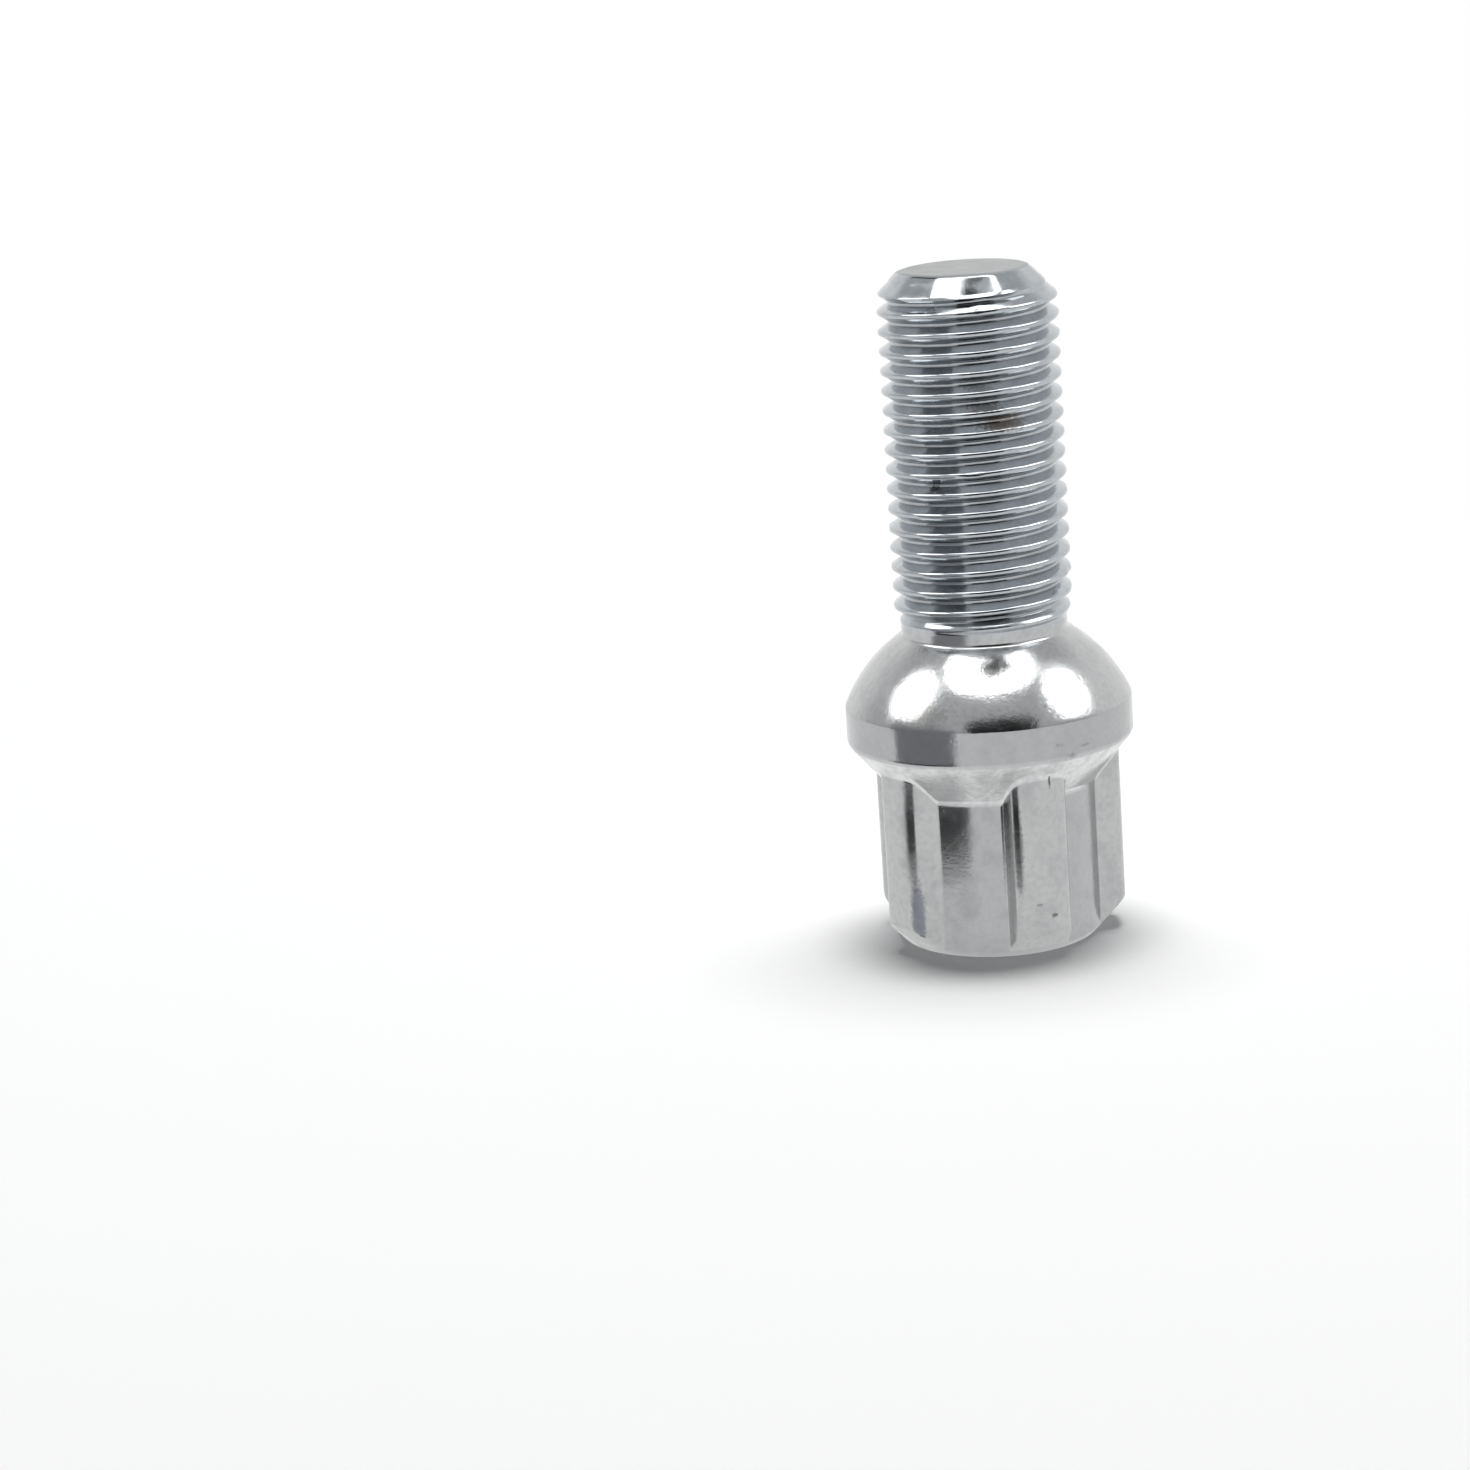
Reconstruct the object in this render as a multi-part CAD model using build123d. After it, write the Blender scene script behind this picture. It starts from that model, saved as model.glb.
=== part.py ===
from build123d import *
import os
from math import radians, sqrt, tan

# A locking wheel bolt, forged and turned from one bar of steel and then plated.
# It has no hexagon. Its head is a round core with five rounded ribs, which only the
# matching key grips, and the ribs run out on the underside of a round flange.
# The flange's other face is a ball seat, which centres the wheel, and beyond it come
# a plain neck and the threaded shank, drawn at the thread's outside diameter.
# The origin is the centre of the head's end face, on which the bolt stands, and +Z
# runs along the shank to its tip. One rib points along +Y. All sizes are in millimetres.

# Length from the head's end face to the tip of the shank
overall_length = 51.8

# Ribbed head, which the key grips
core_radius = 8.0
rib_count = 5
rib_height = 1.8
rib_tip_width = 4.1
rib_flank_angle = 10.4
rib_corner_radius = 1.1
rib_root_fillet = 0.4
end_face_inset = 0.55
end_chamfer_angle = 45.0
end_edge_fillet = 0.25

# Flange, with its underside's height above the end face, and the taper under it
flange_overhang = 1.2
flange_underside = 15.8
flange_thickness = 2.8
taper_half_angle = 40.5
run_out_fillet = 0.35
flange_lower_fillet = 0.5
flange_upper_fillet = 0.25

# Ball seat, a part of a sphere on the bolt's axis, a little larger than the flange
seat_radius_over_flange = 1.0
seat_fillet = 0.3

# Threaded shank, M14, and the neck before it
thread_radius = 7.0
neck_depth = 0.65
neck_length = 1.4
thread_run_out_angle = 60.0
tip_chamfer_width = 2.25
tip_chamfer_angle = 45.0
tip_edge_fillet = 0.5

# Radii that follow from the sizes above
rib_tip_radius = core_radius + rib_height
end_face_radius = core_radius - end_face_inset
flange_radius = rib_tip_radius + flange_overhang
seat_radius = flange_radius + seat_radius_over_flange
neck_radius = thread_radius - neck_depth
tip_face_radius = thread_radius - tip_chamfer_width

# Heights that follow from the sizes above
taper_start = flange_underside - (flange_radius - core_radius) / tan(radians(taper_half_angle))
flange_top = flange_underside + flange_thickness
seat_centre = flange_top - sqrt(seat_radius**2 - flange_radius**2)
neck_start = seat_centre + sqrt(seat_radius**2 - neck_radius**2)
thread_start = neck_start + neck_length
run_out_height = neck_depth / tan(radians(thread_run_out_angle))
tip_chamfer_height = tip_chamfer_width / tan(radians(tip_chamfer_angle))


def edges_of_radius(solid, radius, height):
    """The round edges on the bolt's axis that have this radius and height."""
    found = []
    for edge in solid.edges().filter_by(GeomType.CIRCLE):
        on_axis = abs(edge.arc_center.X) < 0.001 and abs(edge.arc_center.Y) < 0.001
        if on_axis and abs(edge.radius - radius) < 0.001 and abs(edge.center().Z - height) < 0.001:
            found.append(edge)
    return found


def distance_from_axis(vertex):
    """How far a vertex lies from the bolt's axis."""
    return sqrt(vertex.X**2 + vertex.Y**2)


def make_flange_and_shank():
    """Everything above the ribs, turned from one outline."""
    seat_middle_radius = (flange_radius + neck_radius) / 2
    seat_middle_height = seat_centre + sqrt(seat_radius**2 - seat_middle_radius**2)
    below_seat = Polyline(
        (0, taper_start),
        (core_radius, taper_start),
        (flange_radius, flange_underside),
        (flange_radius, flange_top),
    )
    seat = ThreePointArc(
        (flange_radius, flange_top),
        (seat_middle_radius, seat_middle_height),
        (neck_radius, neck_start),
    )
    above_seat = Polyline(
        (neck_radius, neck_start),
        (neck_radius, thread_start),
        (thread_radius, thread_start + run_out_height),
        (thread_radius, overall_length - tip_chamfer_height),
        (tip_face_radius, overall_length),
        (0, overall_length),
        (0, taper_start),
    )
    outline = make_face(Plane.XZ * (below_seat + seat + above_seat))
    turned = revolve(outline, Axis.Z)
    turned = fillet(edges_of_radius(turned, flange_radius, flange_underside), flange_lower_fillet)
    turned = fillet(edges_of_radius(turned, flange_radius, flange_top), flange_upper_fillet)
    turned = fillet(edges_of_radius(turned, neck_radius, neck_start), seat_fillet)
    return fillet(edges_of_radius(turned, tip_face_radius, overall_length), tip_edge_fillet)


def make_rib_section():
    """The section of the ribbed head: a round core with tapered, round-cornered ribs."""
    inner_radius = core_radius / 2
    inner_width = rib_tip_width + 2 * (rib_tip_radius - inner_radius) * tan(radians(rib_flank_angle))
    rib = make_face(
        Polyline(
            (-inner_width / 2, inner_radius),
            (-rib_tip_width / 2, rib_tip_radius),
            (rib_tip_width / 2, rib_tip_radius),
            (inner_width / 2, inner_radius),
            (-inner_width / 2, inner_radius),
        )
    )
    ribs = PolarLocations(0, rib_count) * rib
    section = Circle(core_radius) + ribs
    section = section & Circle(rib_tip_radius)
    middle_radius = (core_radius + rib_tip_radius) / 2
    corners = section.vertices().filter_by(lambda v: distance_from_axis(v) > middle_radius)
    section = fillet(corners, rib_corner_radius)
    near_core = section.vertices().filter_by(lambda v: abs(distance_from_axis(v) - core_radius) < 0.001)
    return fillet(near_core, rib_root_fillet)


def make_ribbed_head():
    """The ribbed bar below the flange, with its end turned to a chamfer."""
    bar = extrude(make_rib_section(), flange_underside)
    chamfer_height = (rib_tip_radius - end_face_radius) / tan(radians(end_chamfer_angle))
    turned_outline = Polyline(
        (0, 0),
        (end_face_radius, 0),
        (rib_tip_radius, chamfer_height),
        (rib_tip_radius, flange_underside),
        (0, flange_underside),
        (0, 0),
    )
    turned_end = revolve(make_face(Plane.XZ * turned_outline), Axis.Z)
    head = bar & turned_end
    return fillet(edges_of_radius(head, end_face_radius, 0), end_edge_fillet)


def run_out_edges(solid):
    """The edges in which the core and the ribs meet the taper under the flange."""
    slope = tan(radians(taper_half_angle))
    found = []
    for edge in solid.edges():
        middle = edge.position_at(0.5)
        distance = sqrt(middle.X**2 + middle.Y**2)
        taper_radius = core_radius + (middle.Z - taper_start) * slope
        if abs(distance - taper_radius) < 0.01 and distance < rib_tip_radius + 0.01:
            found.append(edge)
    return found


def make_bolt():
    """The whole bolt, with a small fillet where the ribbed head runs out on the taper."""
    bolt = make_flange_and_shank() + make_ribbed_head()
    return fillet(run_out_edges(bolt), run_out_fillet)


bolt = make_bolt()
os.makedirs("parts", exist_ok=True)
export_step(bolt, "parts/locking_wheel_bolt.step")
print("locking_wheel_bolt, volume in cubic millimetres:", round(bolt.volume, 1))
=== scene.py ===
# %% [markdown]
# # A locking wheel bolt
# This bolt holds a car wheel. Its head has no hexagon, so a plain spanner finds no grip on it. It
# is one piece of forged steel: a round head with five ribs, a flange with a ball seat, a short neck
# and a rolled thread. All of it is plated and shines. We rebuild its looks here, on top of a CAD
# model that already has the right size. All sizes of the bolt are real sizes in millimetres, and
# Blender counts in metres, so each of them is multiplied by MM when it is used.

from math import asin, atan2, cos, degrees, exp, log, pi, radians, sin, sqrt, tan

import bpy
from mathutils import Matrix, Vector, noise


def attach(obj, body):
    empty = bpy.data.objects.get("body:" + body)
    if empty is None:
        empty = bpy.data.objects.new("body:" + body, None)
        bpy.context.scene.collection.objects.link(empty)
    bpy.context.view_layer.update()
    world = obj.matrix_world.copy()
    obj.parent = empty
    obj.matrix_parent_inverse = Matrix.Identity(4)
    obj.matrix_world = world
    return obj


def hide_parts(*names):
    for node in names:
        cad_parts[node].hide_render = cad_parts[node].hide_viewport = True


MM = 0.001
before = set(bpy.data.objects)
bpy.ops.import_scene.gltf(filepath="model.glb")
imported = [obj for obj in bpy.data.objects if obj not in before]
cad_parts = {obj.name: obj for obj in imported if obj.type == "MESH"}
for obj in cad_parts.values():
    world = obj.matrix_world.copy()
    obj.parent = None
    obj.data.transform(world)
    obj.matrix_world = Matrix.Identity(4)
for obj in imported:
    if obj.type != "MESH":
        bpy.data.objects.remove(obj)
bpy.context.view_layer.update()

# %% [markdown]
# ## The camera
# The photograph was taken with a long lens from a little above, so the bolt hardly narrows with
# distance. The camera's place was measured from the picture by fitting the thread's silhouette and
# the ribs. The lens is given for a square picture of 1470 by 1470 pixels. The picture also leans a
# few degrees, which is the camera's roll.

# %% Place the camera
CAMERA_DISTANCE = 292.3
CAMERA_HEIGHT = 89.6
CAMERA_AZIMUTH = 14.0
CAMERA_PAN = 3.85
CAMERA_TILT = -13.98
CAMERA_ROLL = -3.99
FOCAL_LENGTH_IN_PIXELS = 3902.0
PICTURE_WIDTH_IN_PIXELS = 1470.0
SENSOR_WIDTH = 36.0
NEAREST_SEEN = 0.01


def around_z(angle):
    """A turn about the bolt's axis, in degrees."""
    return Matrix.Rotation(radians(angle), 4, "Z")


camera_data = bpy.data.cameras.new("camera")
camera_data.lens = FOCAL_LENGTH_IN_PIXELS / PICTURE_WIDTH_IN_PIXELS * SENSOR_WIDTH
camera_data.sensor_width = SENSOR_WIDTH
camera_data.clip_start = NEAREST_SEEN
camera = bpy.data.objects.new("camera", camera_data)
bpy.context.scene.collection.objects.link(camera)
level_view = Matrix.Rotation(radians(90.0), 4, "X")
panned = Matrix.Rotation(radians(CAMERA_PAN), 4, "Y")
tilted = Matrix.Rotation(radians(CAMERA_TILT), 4, "X")
rolled = Matrix.Rotation(radians(CAMERA_ROLL), 4, "Z")
place = Matrix.Translation((0, -CAMERA_DISTANCE * MM, CAMERA_HEIGHT * MM))
camera.matrix_world = around_z(CAMERA_AZIMUTH) @ place @ level_view @ panned @ tilted @ rolled
bpy.context.scene.camera = camera
print("camera at", [round(v / MM, 1) for v in camera.matrix_world.translation], "mm")

# %% [markdown]
# ## Sizes
# Most of these are the CAD model's own sizes. The thread is the exception: it is M14 with a pitch of
# 1.5 mm, but a rolled thread stays a little under its nominal size, and its root lies below the
# plain neck, because rolling pushes steel out of the roots and up into the crests.

# %% Name the sizes
LENGTH = 51.8
CORE_RADIUS = 8.0
RIB_COUNT = 5
RIB_TIP_RADIUS = 9.8
RIB_TIP_WIDTH = 4.1
RIB_FLANK_ANGLE = 10.4
RIB_CORNER_RADIUS = 1.1
RIB_ROOT_FILLET = 0.4
END_FACE_RADIUS = 7.45
FLANGE_RADIUS = 11.0
FLANGE_UNDERSIDE = 15.8
FLANGE_TOP = 18.6
TAPER_ANGLE = 40.5
SEAT_RADIUS = 12.0
SEAT_CENTRE = FLANGE_TOP - sqrt(SEAT_RADIUS**2 - FLANGE_RADIUS**2)
NECK_RADIUS = 6.35
NECK_START = SEAT_CENTRE + sqrt(SEAT_RADIUS**2 - NECK_RADIUS**2)
TAPER_START = FLANGE_UNDERSIDE - (FLANGE_RADIUS - CORE_RADIUS) / tan(radians(TAPER_ANGLE))
THREAD_FOOT = 24.55
THREAD_PITCH = 1.5
CREST_RADIUS = 6.83
ROOT_RADIUS = 6.01
TIP_FACE_RADIUS = 4.75
THREAD_TOP = 51.2
COLUMNS = 200
print("neck starts at", round(NECK_START, 2), "mm, taper at", round(TAPER_START, 2), "mm")

# %% [markdown]
# ## The thread
# A thread is one small outline that turns round an axis while it climbs. That is just what the
# Screw modifier does, so we draw one pitch of the outline as a line of points and let the modifier
# turn it. A stack of rings would be a worse choice, because a thread climbs and rings don't. The
# outline's flanks stand at about 30 degrees, and its crest and root are rounded, as rolling leaves
# them. The height of the first crest comes from one crest that was measured in the photograph. For
# the line of points we keep one edge of a plane and cut it up.

# %% Work out one pitch of the thread's outline
CREST_HALF_WIDTH = 0.02
CREST_ROUNDING = 0.23
CREST_STEPS = 5
ROOT_ROUNDING = 0.05
FLANK_ANGLE = 32.0


def rounded_corner(middle, radius, start, end, steps):
    """Points (offset, radius) on an arc, given by the directions of its normals in degrees."""
    found = []
    for step in range(steps + 1):
        normal = radians(start + (end - start) * step / steps)
        found.append((middle[0] + radius * sin(normal), middle[1] + radius * cos(normal)))
    return found


crest_middle = (CREST_HALF_WIDTH, CREST_RADIUS - CREST_ROUNDING)
half_outline = [(0.0, CREST_RADIUS)]
half_outline += rounded_corner(crest_middle, CREST_ROUNDING, 0.0, 90.0 - FLANK_ANGLE, CREST_STEPS)
crest_end = half_outline[-1]
root_top_radius = ROOT_RADIUS + ROOT_ROUNDING * (1 - sin(radians(FLANK_ANGLE)))
root_top_offset = crest_end[0] + (crest_end[1] - root_top_radius) * tan(radians(FLANK_ANGLE))
half_outline.append(((crest_end[0] + root_top_offset) / 2, (crest_end[1] + root_top_radius) / 2))
half_outline.append((root_top_offset, root_top_radius))
half_outline.append((THREAD_PITCH / 2, ROOT_RADIUS))
thread_outline = [(-offset, radius) for offset, radius in reversed(half_outline[1:])] + half_outline
print("root starts at", round(root_top_offset, 3), "of", THREAD_PITCH / 2, "mm")


# %% Write two helpers for modelling
def start_from(adder, name, **sizes):
    """Adds a primitive with nothing else selected and returns its object."""
    bpy.ops.object.select_all(action="DESELECT")
    adder(**sizes)
    piece = bpy.context.object
    piece.name = name
    piece.data.name = name
    return piece


def select_points(piece, test):
    """Selects only the points of a piece for which test(point) is true, and counts them."""
    mesh = piece.data
    mesh.polygons.foreach_set("select", [False] * len(mesh.polygons))
    mesh.edges.foreach_set("select", [False] * len(mesh.edges))
    chosen = [bool(test(vertex)) for vertex in mesh.vertices]
    mesh.vertices.foreach_set("select", chosen)
    return sum(chosen)


print("helpers:", start_from.__name__, select_points.__name__)

# %% Draw the outline as a row of points
SEEN_CREST_HEIGHT = 48.80
SEEN_CREST_TURN = 195.34
PITCHES_BELOW = 17
crest_height_at_x = SEEN_CREST_HEIGHT - THREAD_PITCH * SEEN_CREST_TURN / 360.0
first_crest = crest_height_at_x - PITCHES_BELOW * THREAD_PITCH

bolt = start_from(bpy.ops.mesh.primitive_plane_add, "bolt", size=2 * MM)
select_points(bolt, lambda vertex: vertex.index > 1)
bpy.ops.object.mode_set(mode="EDIT")
bpy.ops.mesh.select_mode(type="VERT")
bpy.ops.mesh.delete(type="VERT")
bpy.ops.mesh.select_all(action="SELECT")
bpy.ops.mesh.subdivide(number_cuts=len(thread_outline) - 2)
bpy.ops.object.mode_set(mode="OBJECT")
in_a_row = sorted(bolt.data.vertices, key=lambda v: (v.co.x, v.co.y))
for vertex, (offset, radius) in zip(in_a_row, thread_outline):
    vertex.co = Vector((radius, 0, first_crest + offset)) * MM
print(len(in_a_row), "points in the outline, first crest at", round(first_crest, 2), "mm")

# %% Turn the outline into a thread
TURNS = 20
THREAD_WELD = 0.002
screw = bolt.modifiers.new("turns", "SCREW")
screw.axis = "Z"
screw.angle = 2 * pi
screw.screw_offset = THREAD_PITCH * MM
screw.iterations = TURNS
screw.steps = COLUMNS
screw.render_steps = COLUMNS
bpy.ops.object.modifier_apply(modifier="turns")
bpy.ops.object.mode_set(mode="EDIT")
bpy.ops.mesh.select_all(action="SELECT")
bpy.ops.mesh.remove_doubles(threshold=THREAD_WELD * MM)
bpy.ops.object.mode_set(mode="OBJECT")
print("the thread has", len(bolt.data.polygons), "faces")

# %% [markdown]
# ## Both ends of the thread
# At the neck a rolled thread doesn't stop at a step: its crests sink and its roots rise until both
# meet the plain neck. At the tip the bar had a chamfer before it was rolled, so the last turns are
# cut down by a cone. We move the points by these two rules, and press what lies beyond each end
# flat onto one level, where merged points leave a clean ring. A little noise keeps the crests and
# the chamfer from looking too perfect.

# %% Shape both ends of the thread
RUN_OUT_START = 24.7
RUN_OUT_END = 26.3
END_REACH = 0.03
END_WELD = 0.004
TIP_REACH = 3.5
TIP_SOFTNESS = 0.16
TIP_WAVINESS = 0.13
TIP_WAVES = 3.1
TIP_WAVE_SEED = 3.7
TIP_BULGE = 0.42
TIP_BULGE_ANGLE = 203.0
TIP_BULGE_WIDTH = 38.0
CREST_UNEVENNESS = 0.03
CREST_WAVES = 5.0
CREST_WAVES_UPWARDS = 0.9


def soft_min(a, b, softness):
    """The smaller of two values, with a rounded change from one to the other."""
    low = min(a, b)
    return low - softness * log(exp((low - a) / softness) + exp((low - b) / softness))


def smooth_step(value, low, high):
    """Rises smoothly from 0 at low to 1 at high."""
    part = min(max((value - low) / (high - low), 0.0), 1.0)
    return part * part * (3.0 - 2.0 * part)


def tip_cone(height, angle):
    """The radius of the tip's chamfer, which is uneven and bulges on one side."""
    wave = noise.noise(Vector((TIP_WAVES * cos(angle), TIP_WAVES * sin(angle), TIP_WAVE_SEED)))
    off_bulge = (degrees(angle) - TIP_BULGE_ANGLE + 180.0) % 360.0 - 180.0
    bulge = TIP_BULGE * exp(-((off_bulge / TIP_BULGE_WIDTH) ** 2))
    return TIP_FACE_RADIUS + (LENGTH - height) + TIP_WAVINESS * wave + bulge


def end_shaped(point):
    """Where a point of the endless thread lies on the real one."""
    angle = atan2(point.y, point.x)
    radius = sqrt(point.x**2 + point.y**2) / MM
    height = point.z / MM
    if height < THREAD_FOOT + END_REACH:
        height = THREAD_FOOT
    if height > THREAD_TOP - END_REACH:
        height = THREAD_TOP
    grown = smooth_step(height, RUN_OUT_START, RUN_OUT_END)
    place = Vector((CREST_WAVES * cos(angle), CREST_WAVES * sin(angle), CREST_WAVES_UPWARDS * height))
    uneven = noise.noise(place)
    radius = NECK_RADIUS + (radius - NECK_RADIUS + CREST_UNEVENNESS * uneven) * grown
    if height > THREAD_TOP - TIP_REACH:
        radius = soft_min(radius, tip_cone(height, angle), TIP_SOFTNESS)
    if height == THREAD_TOP:
        radius = tip_cone(height, angle)
    return Vector((radius * cos(angle), radius * sin(angle), height)) * MM


for vertex in bolt.data.vertices:
    vertex.co = end_shaped(vertex.co)
bpy.ops.object.mode_set(mode="EDIT")
bpy.ops.mesh.select_all(action="SELECT")
bpy.ops.mesh.remove_doubles(threshold=END_WELD * MM)
bpy.ops.object.mode_set(mode="OBJECT")
print("the thread now has", len(bolt.data.polygons), "faces")

# %% [markdown]
# ## The tip
# The tip face is flat with a rounded edge. Its ring is extruded from the thread's last one, closed
# with a face, and the edge is rounded with a bevel, as a turner would break it with a file. The
# face also gets an inset, and the bevel keeps to the outer ring.

# %% Close the tip
SAME_HEIGHT = 0.0005
TIP_INSET = 0.45
TIP_RIM_REACH = 0.2
TIP_EDGE_ROUNDING = 0.32
TIP_EDGE_STEPS = 6


def at_height(height):
    """A test for the points that lie at this height."""
    return lambda vertex: abs(vertex.co.z / MM - height) < SAME_HEIGHT


def off_axis(vertex):
    """How far a point lies from the bolt's axis, in millimetres."""
    return sqrt(vertex.co.x**2 + vertex.co.y**2) / MM


def extrude_ring(piece, place):
    """Extrudes the selected ring and puts each new point where place(point) says."""
    bpy.ops.object.mode_set(mode="EDIT")
    bpy.ops.mesh.select_mode(type="VERT")
    bpy.ops.mesh.extrude_region_move()
    bpy.ops.object.mode_set(mode="OBJECT")
    for vertex in piece.data.vertices:
        if vertex.select:
            vertex.co = place(vertex.co)


def on_tip_edge(point):
    """A point of the thread's last ring, moved up the chamfer to the edge of the tip face."""
    angle = atan2(point.y, point.x)
    radius = tip_cone(LENGTH, angle)
    return Vector((radius * cos(angle), radius * sin(angle), LENGTH)) * MM


print("points in the top ring:", select_points(bolt, at_height(THREAD_TOP)))
extrude_ring(bolt, on_tip_edge)
bpy.ops.object.mode_set(mode="EDIT")
bpy.ops.mesh.edge_face_add()
bpy.ops.mesh.inset(thickness=TIP_INSET * MM)
bpy.ops.object.mode_set(mode="OBJECT")

# %% Round the tip's edge
on_top = at_height(LENGTH)


def on_tip_rim(vertex):
    """Whether a point lies on the tip's edge, and not on the inset of its face."""
    rim = tip_cone(LENGTH, atan2(vertex.co.y, vertex.co.x))
    return on_top(vertex) and off_axis(vertex) > rim - TIP_RIM_REACH


print("points on the tip's edge:", select_points(bolt, on_tip_rim))
bpy.ops.object.mode_set(mode="EDIT")
bpy.ops.mesh.bevel(
    offset=TIP_EDGE_ROUNDING * MM, segments=TIP_EDGE_STEPS, profile=0.5, affect="EDGES"
)
bpy.ops.object.mode_set(mode="OBJECT")
print("the shank has", len(bolt.data.polygons), "faces")

# %% [markdown]
# ## The outline of the ribs
# Seen from its end, the head is a round core with five ribs. Each rib has a round crest, two rounded
# corners, flanks that lean a little and a small fillet at its root. Cutting ribs out of a cylinder
# would leave a messy mesh, so we work out one half of a rib as a row of points, mirror it, and
# repeat it five times. The points stand closest at the corners, and each rib has 40 of them, so that
# five ribs give the 200 columns that the thread has too.

# %% Find the centres of the ribs' roundings
flank_normal = Vector((cos(radians(RIB_FLANK_ANGLE)), sin(radians(RIB_FLANK_ANGLE))))
up_the_flank = Vector((-flank_normal.y, flank_normal.x))
flank_distance = flank_normal.dot(Vector((RIB_TIP_WIDTH / 2, RIB_TIP_RADIUS)))


def fillet_centre(distance_off_flank, distance_off_axis):
    """The centre of a circle at these distances from the axis and from the flank's line."""
    along = sqrt(distance_off_axis**2 - distance_off_flank**2)
    return distance_off_flank * flank_normal + along * up_the_flank


def arc_points(centre, start, end, steps):
    """Points on the short arc round centre from start to end, without its first point."""
    first = atan2(start.y - centre.y, start.x - centre.x)
    last = atan2(end.y - centre.y, end.x - centre.x)
    radius = (start - centre).length
    found = []
    for step in range(1, steps + 1):
        angle = first + (last - first) * step / steps
        found.append(centre + radius * Vector((cos(angle), sin(angle))))
    return found


corner_centre = fillet_centre(flank_distance - RIB_CORNER_RADIUS, RIB_TIP_RADIUS - RIB_CORNER_RADIUS)
root_centre = fillet_centre(flank_distance + RIB_ROOT_FILLET, CORE_RADIUS + RIB_ROOT_FILLET)
rib_crest_end = corner_centre * RIB_TIP_RADIUS / corner_centre.length
corner_end = corner_centre + RIB_CORNER_RADIUS * flank_normal
flank_end = root_centre - RIB_ROOT_FILLET * flank_normal
root_end = root_centre * CORE_RADIUS / root_centre.length
half_pitch = pi / RIB_COUNT
flute_middle = CORE_RADIUS * Vector((sin(half_pitch), cos(half_pitch)))
axis_point = Vector((0, 0))
print("a corner's centre lies", round(corner_centre.length, 2), "mm off the axis")

# %% Work out the outline of the ribs
CREST_ROWS = 4
CORNER_ROWS = 6
ROOT_ROWS = 3
FLUTE_ROWS = 5
half_rib = arc_points(axis_point, Vector((0, RIB_TIP_RADIUS)), rib_crest_end, CREST_ROWS)
half_rib += arc_points(corner_centre, rib_crest_end, corner_end, CORNER_ROWS)
half_rib += [(corner_end + flank_end) / 2, flank_end]
half_rib += arc_points(root_centre, flank_end, root_end, ROOT_ROWS)
half_rib += arc_points(axis_point, root_end, flute_middle, FLUTE_ROWS)
half_polar = [(degrees(atan2(point.x, point.y)), point.length) for point in half_rib]
whole_rib = [(-angle, radius) for angle, radius in reversed(half_polar[:-1])]
whole_rib += [(0.0, RIB_TIP_RADIUS)] + half_polar
outline = []
for rib in range(RIB_COUNT):
    for angle, radius in whole_rib:
        outline.append((90.0 + rib * 360.0 / RIB_COUNT - angle, radius))
outline.sort(key=lambda item: item[0] % 360.0)
smallest = min(radius for angle, radius in outline)
print(len(outline), "points round the head, radii", round(smallest, 2), "to", RIB_TIP_RADIUS)

# %% [markdown]
# ## The head, ring by ring
# The neck, the ball, the flange and the ribs all have the same number of points round the axis. So
# we start with a circle at the neck and extrude it down again and again, and each new ring gets its
# own radius and height. On the ribs a ring doesn't lie level: where the ribs run out on the taper
# and where the end is chamfered, it climbs over the ribs, so that each edge of the real bolt is a
# row of points and can be rounded with one bevel. Each point holds the number of its column and
# passes it on when it is extruded.

# %% Give each column of points its angle
columns_at_neck = [360.0 * column / COLUMNS for column in range(COLUMNS)]
columns_at_head = [angle % 360.0 for angle, radius in outline]
head_radius = [radius for angle, radius in outline]
print("the first column goes from", columns_at_neck[0], "to", round(columns_at_head[0], 2), "degrees")


# %% Describe each kind of ring
def ring(radius, height, turned):
    """A level ring, as one (angle, radius, height) for each column.

    Its columns stand as at the neck for turned 0, and as on the ribs for turned 1.
    """
    found = []
    for column in range(COLUMNS):
        angle = columns_at_neck[column] * (1 - turned) + columns_at_head[column] * turned
        found.append((angle, radius, height))
    return found


def taper_height(radius):
    """The height of the taper under the flange at this radius."""
    return TAPER_START + (radius - CORE_RADIUS) / tan(radians(TAPER_ANGLE))


def rib_ring(part):
    """A ring on the ribs' sides, from the chamfer's edge at part 0 to the taper at part 1."""
    found = []
    for column in range(COLUMNS):
        radius = head_radius[column]
        # The end chamfer is at 45 degrees, so it climbs as far as it widens.
        low = radius - END_FACE_RADIUS
        high = taper_height(radius)
        found.append((columns_at_head[column], radius, low + part * (high - low)))
    return found


def taper_ring(part):
    """A ring on the taper, from the ribs at part 0 to the flange at part 1."""
    found = []
    for column in range(COLUMNS):
        radius = head_radius[column] + part * (FLANGE_RADIUS - head_radius[column])
        found.append((columns_at_head[column], radius, taper_height(radius)))
    return found


def chamfer_ring(part):
    """A ring on the end chamfer, from the ribs' edge at part 0 to the end face at part 1."""
    found = []
    for column in range(COLUMNS):
        radius = head_radius[column] + part * (END_FACE_RADIUS - head_radius[column])
        found.append((columns_at_head[column], radius, radius - END_FACE_RADIUS))
    return found


print("the taper meets the core at", round(taper_height(CORE_RADIUS), 2), "mm")

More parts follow.
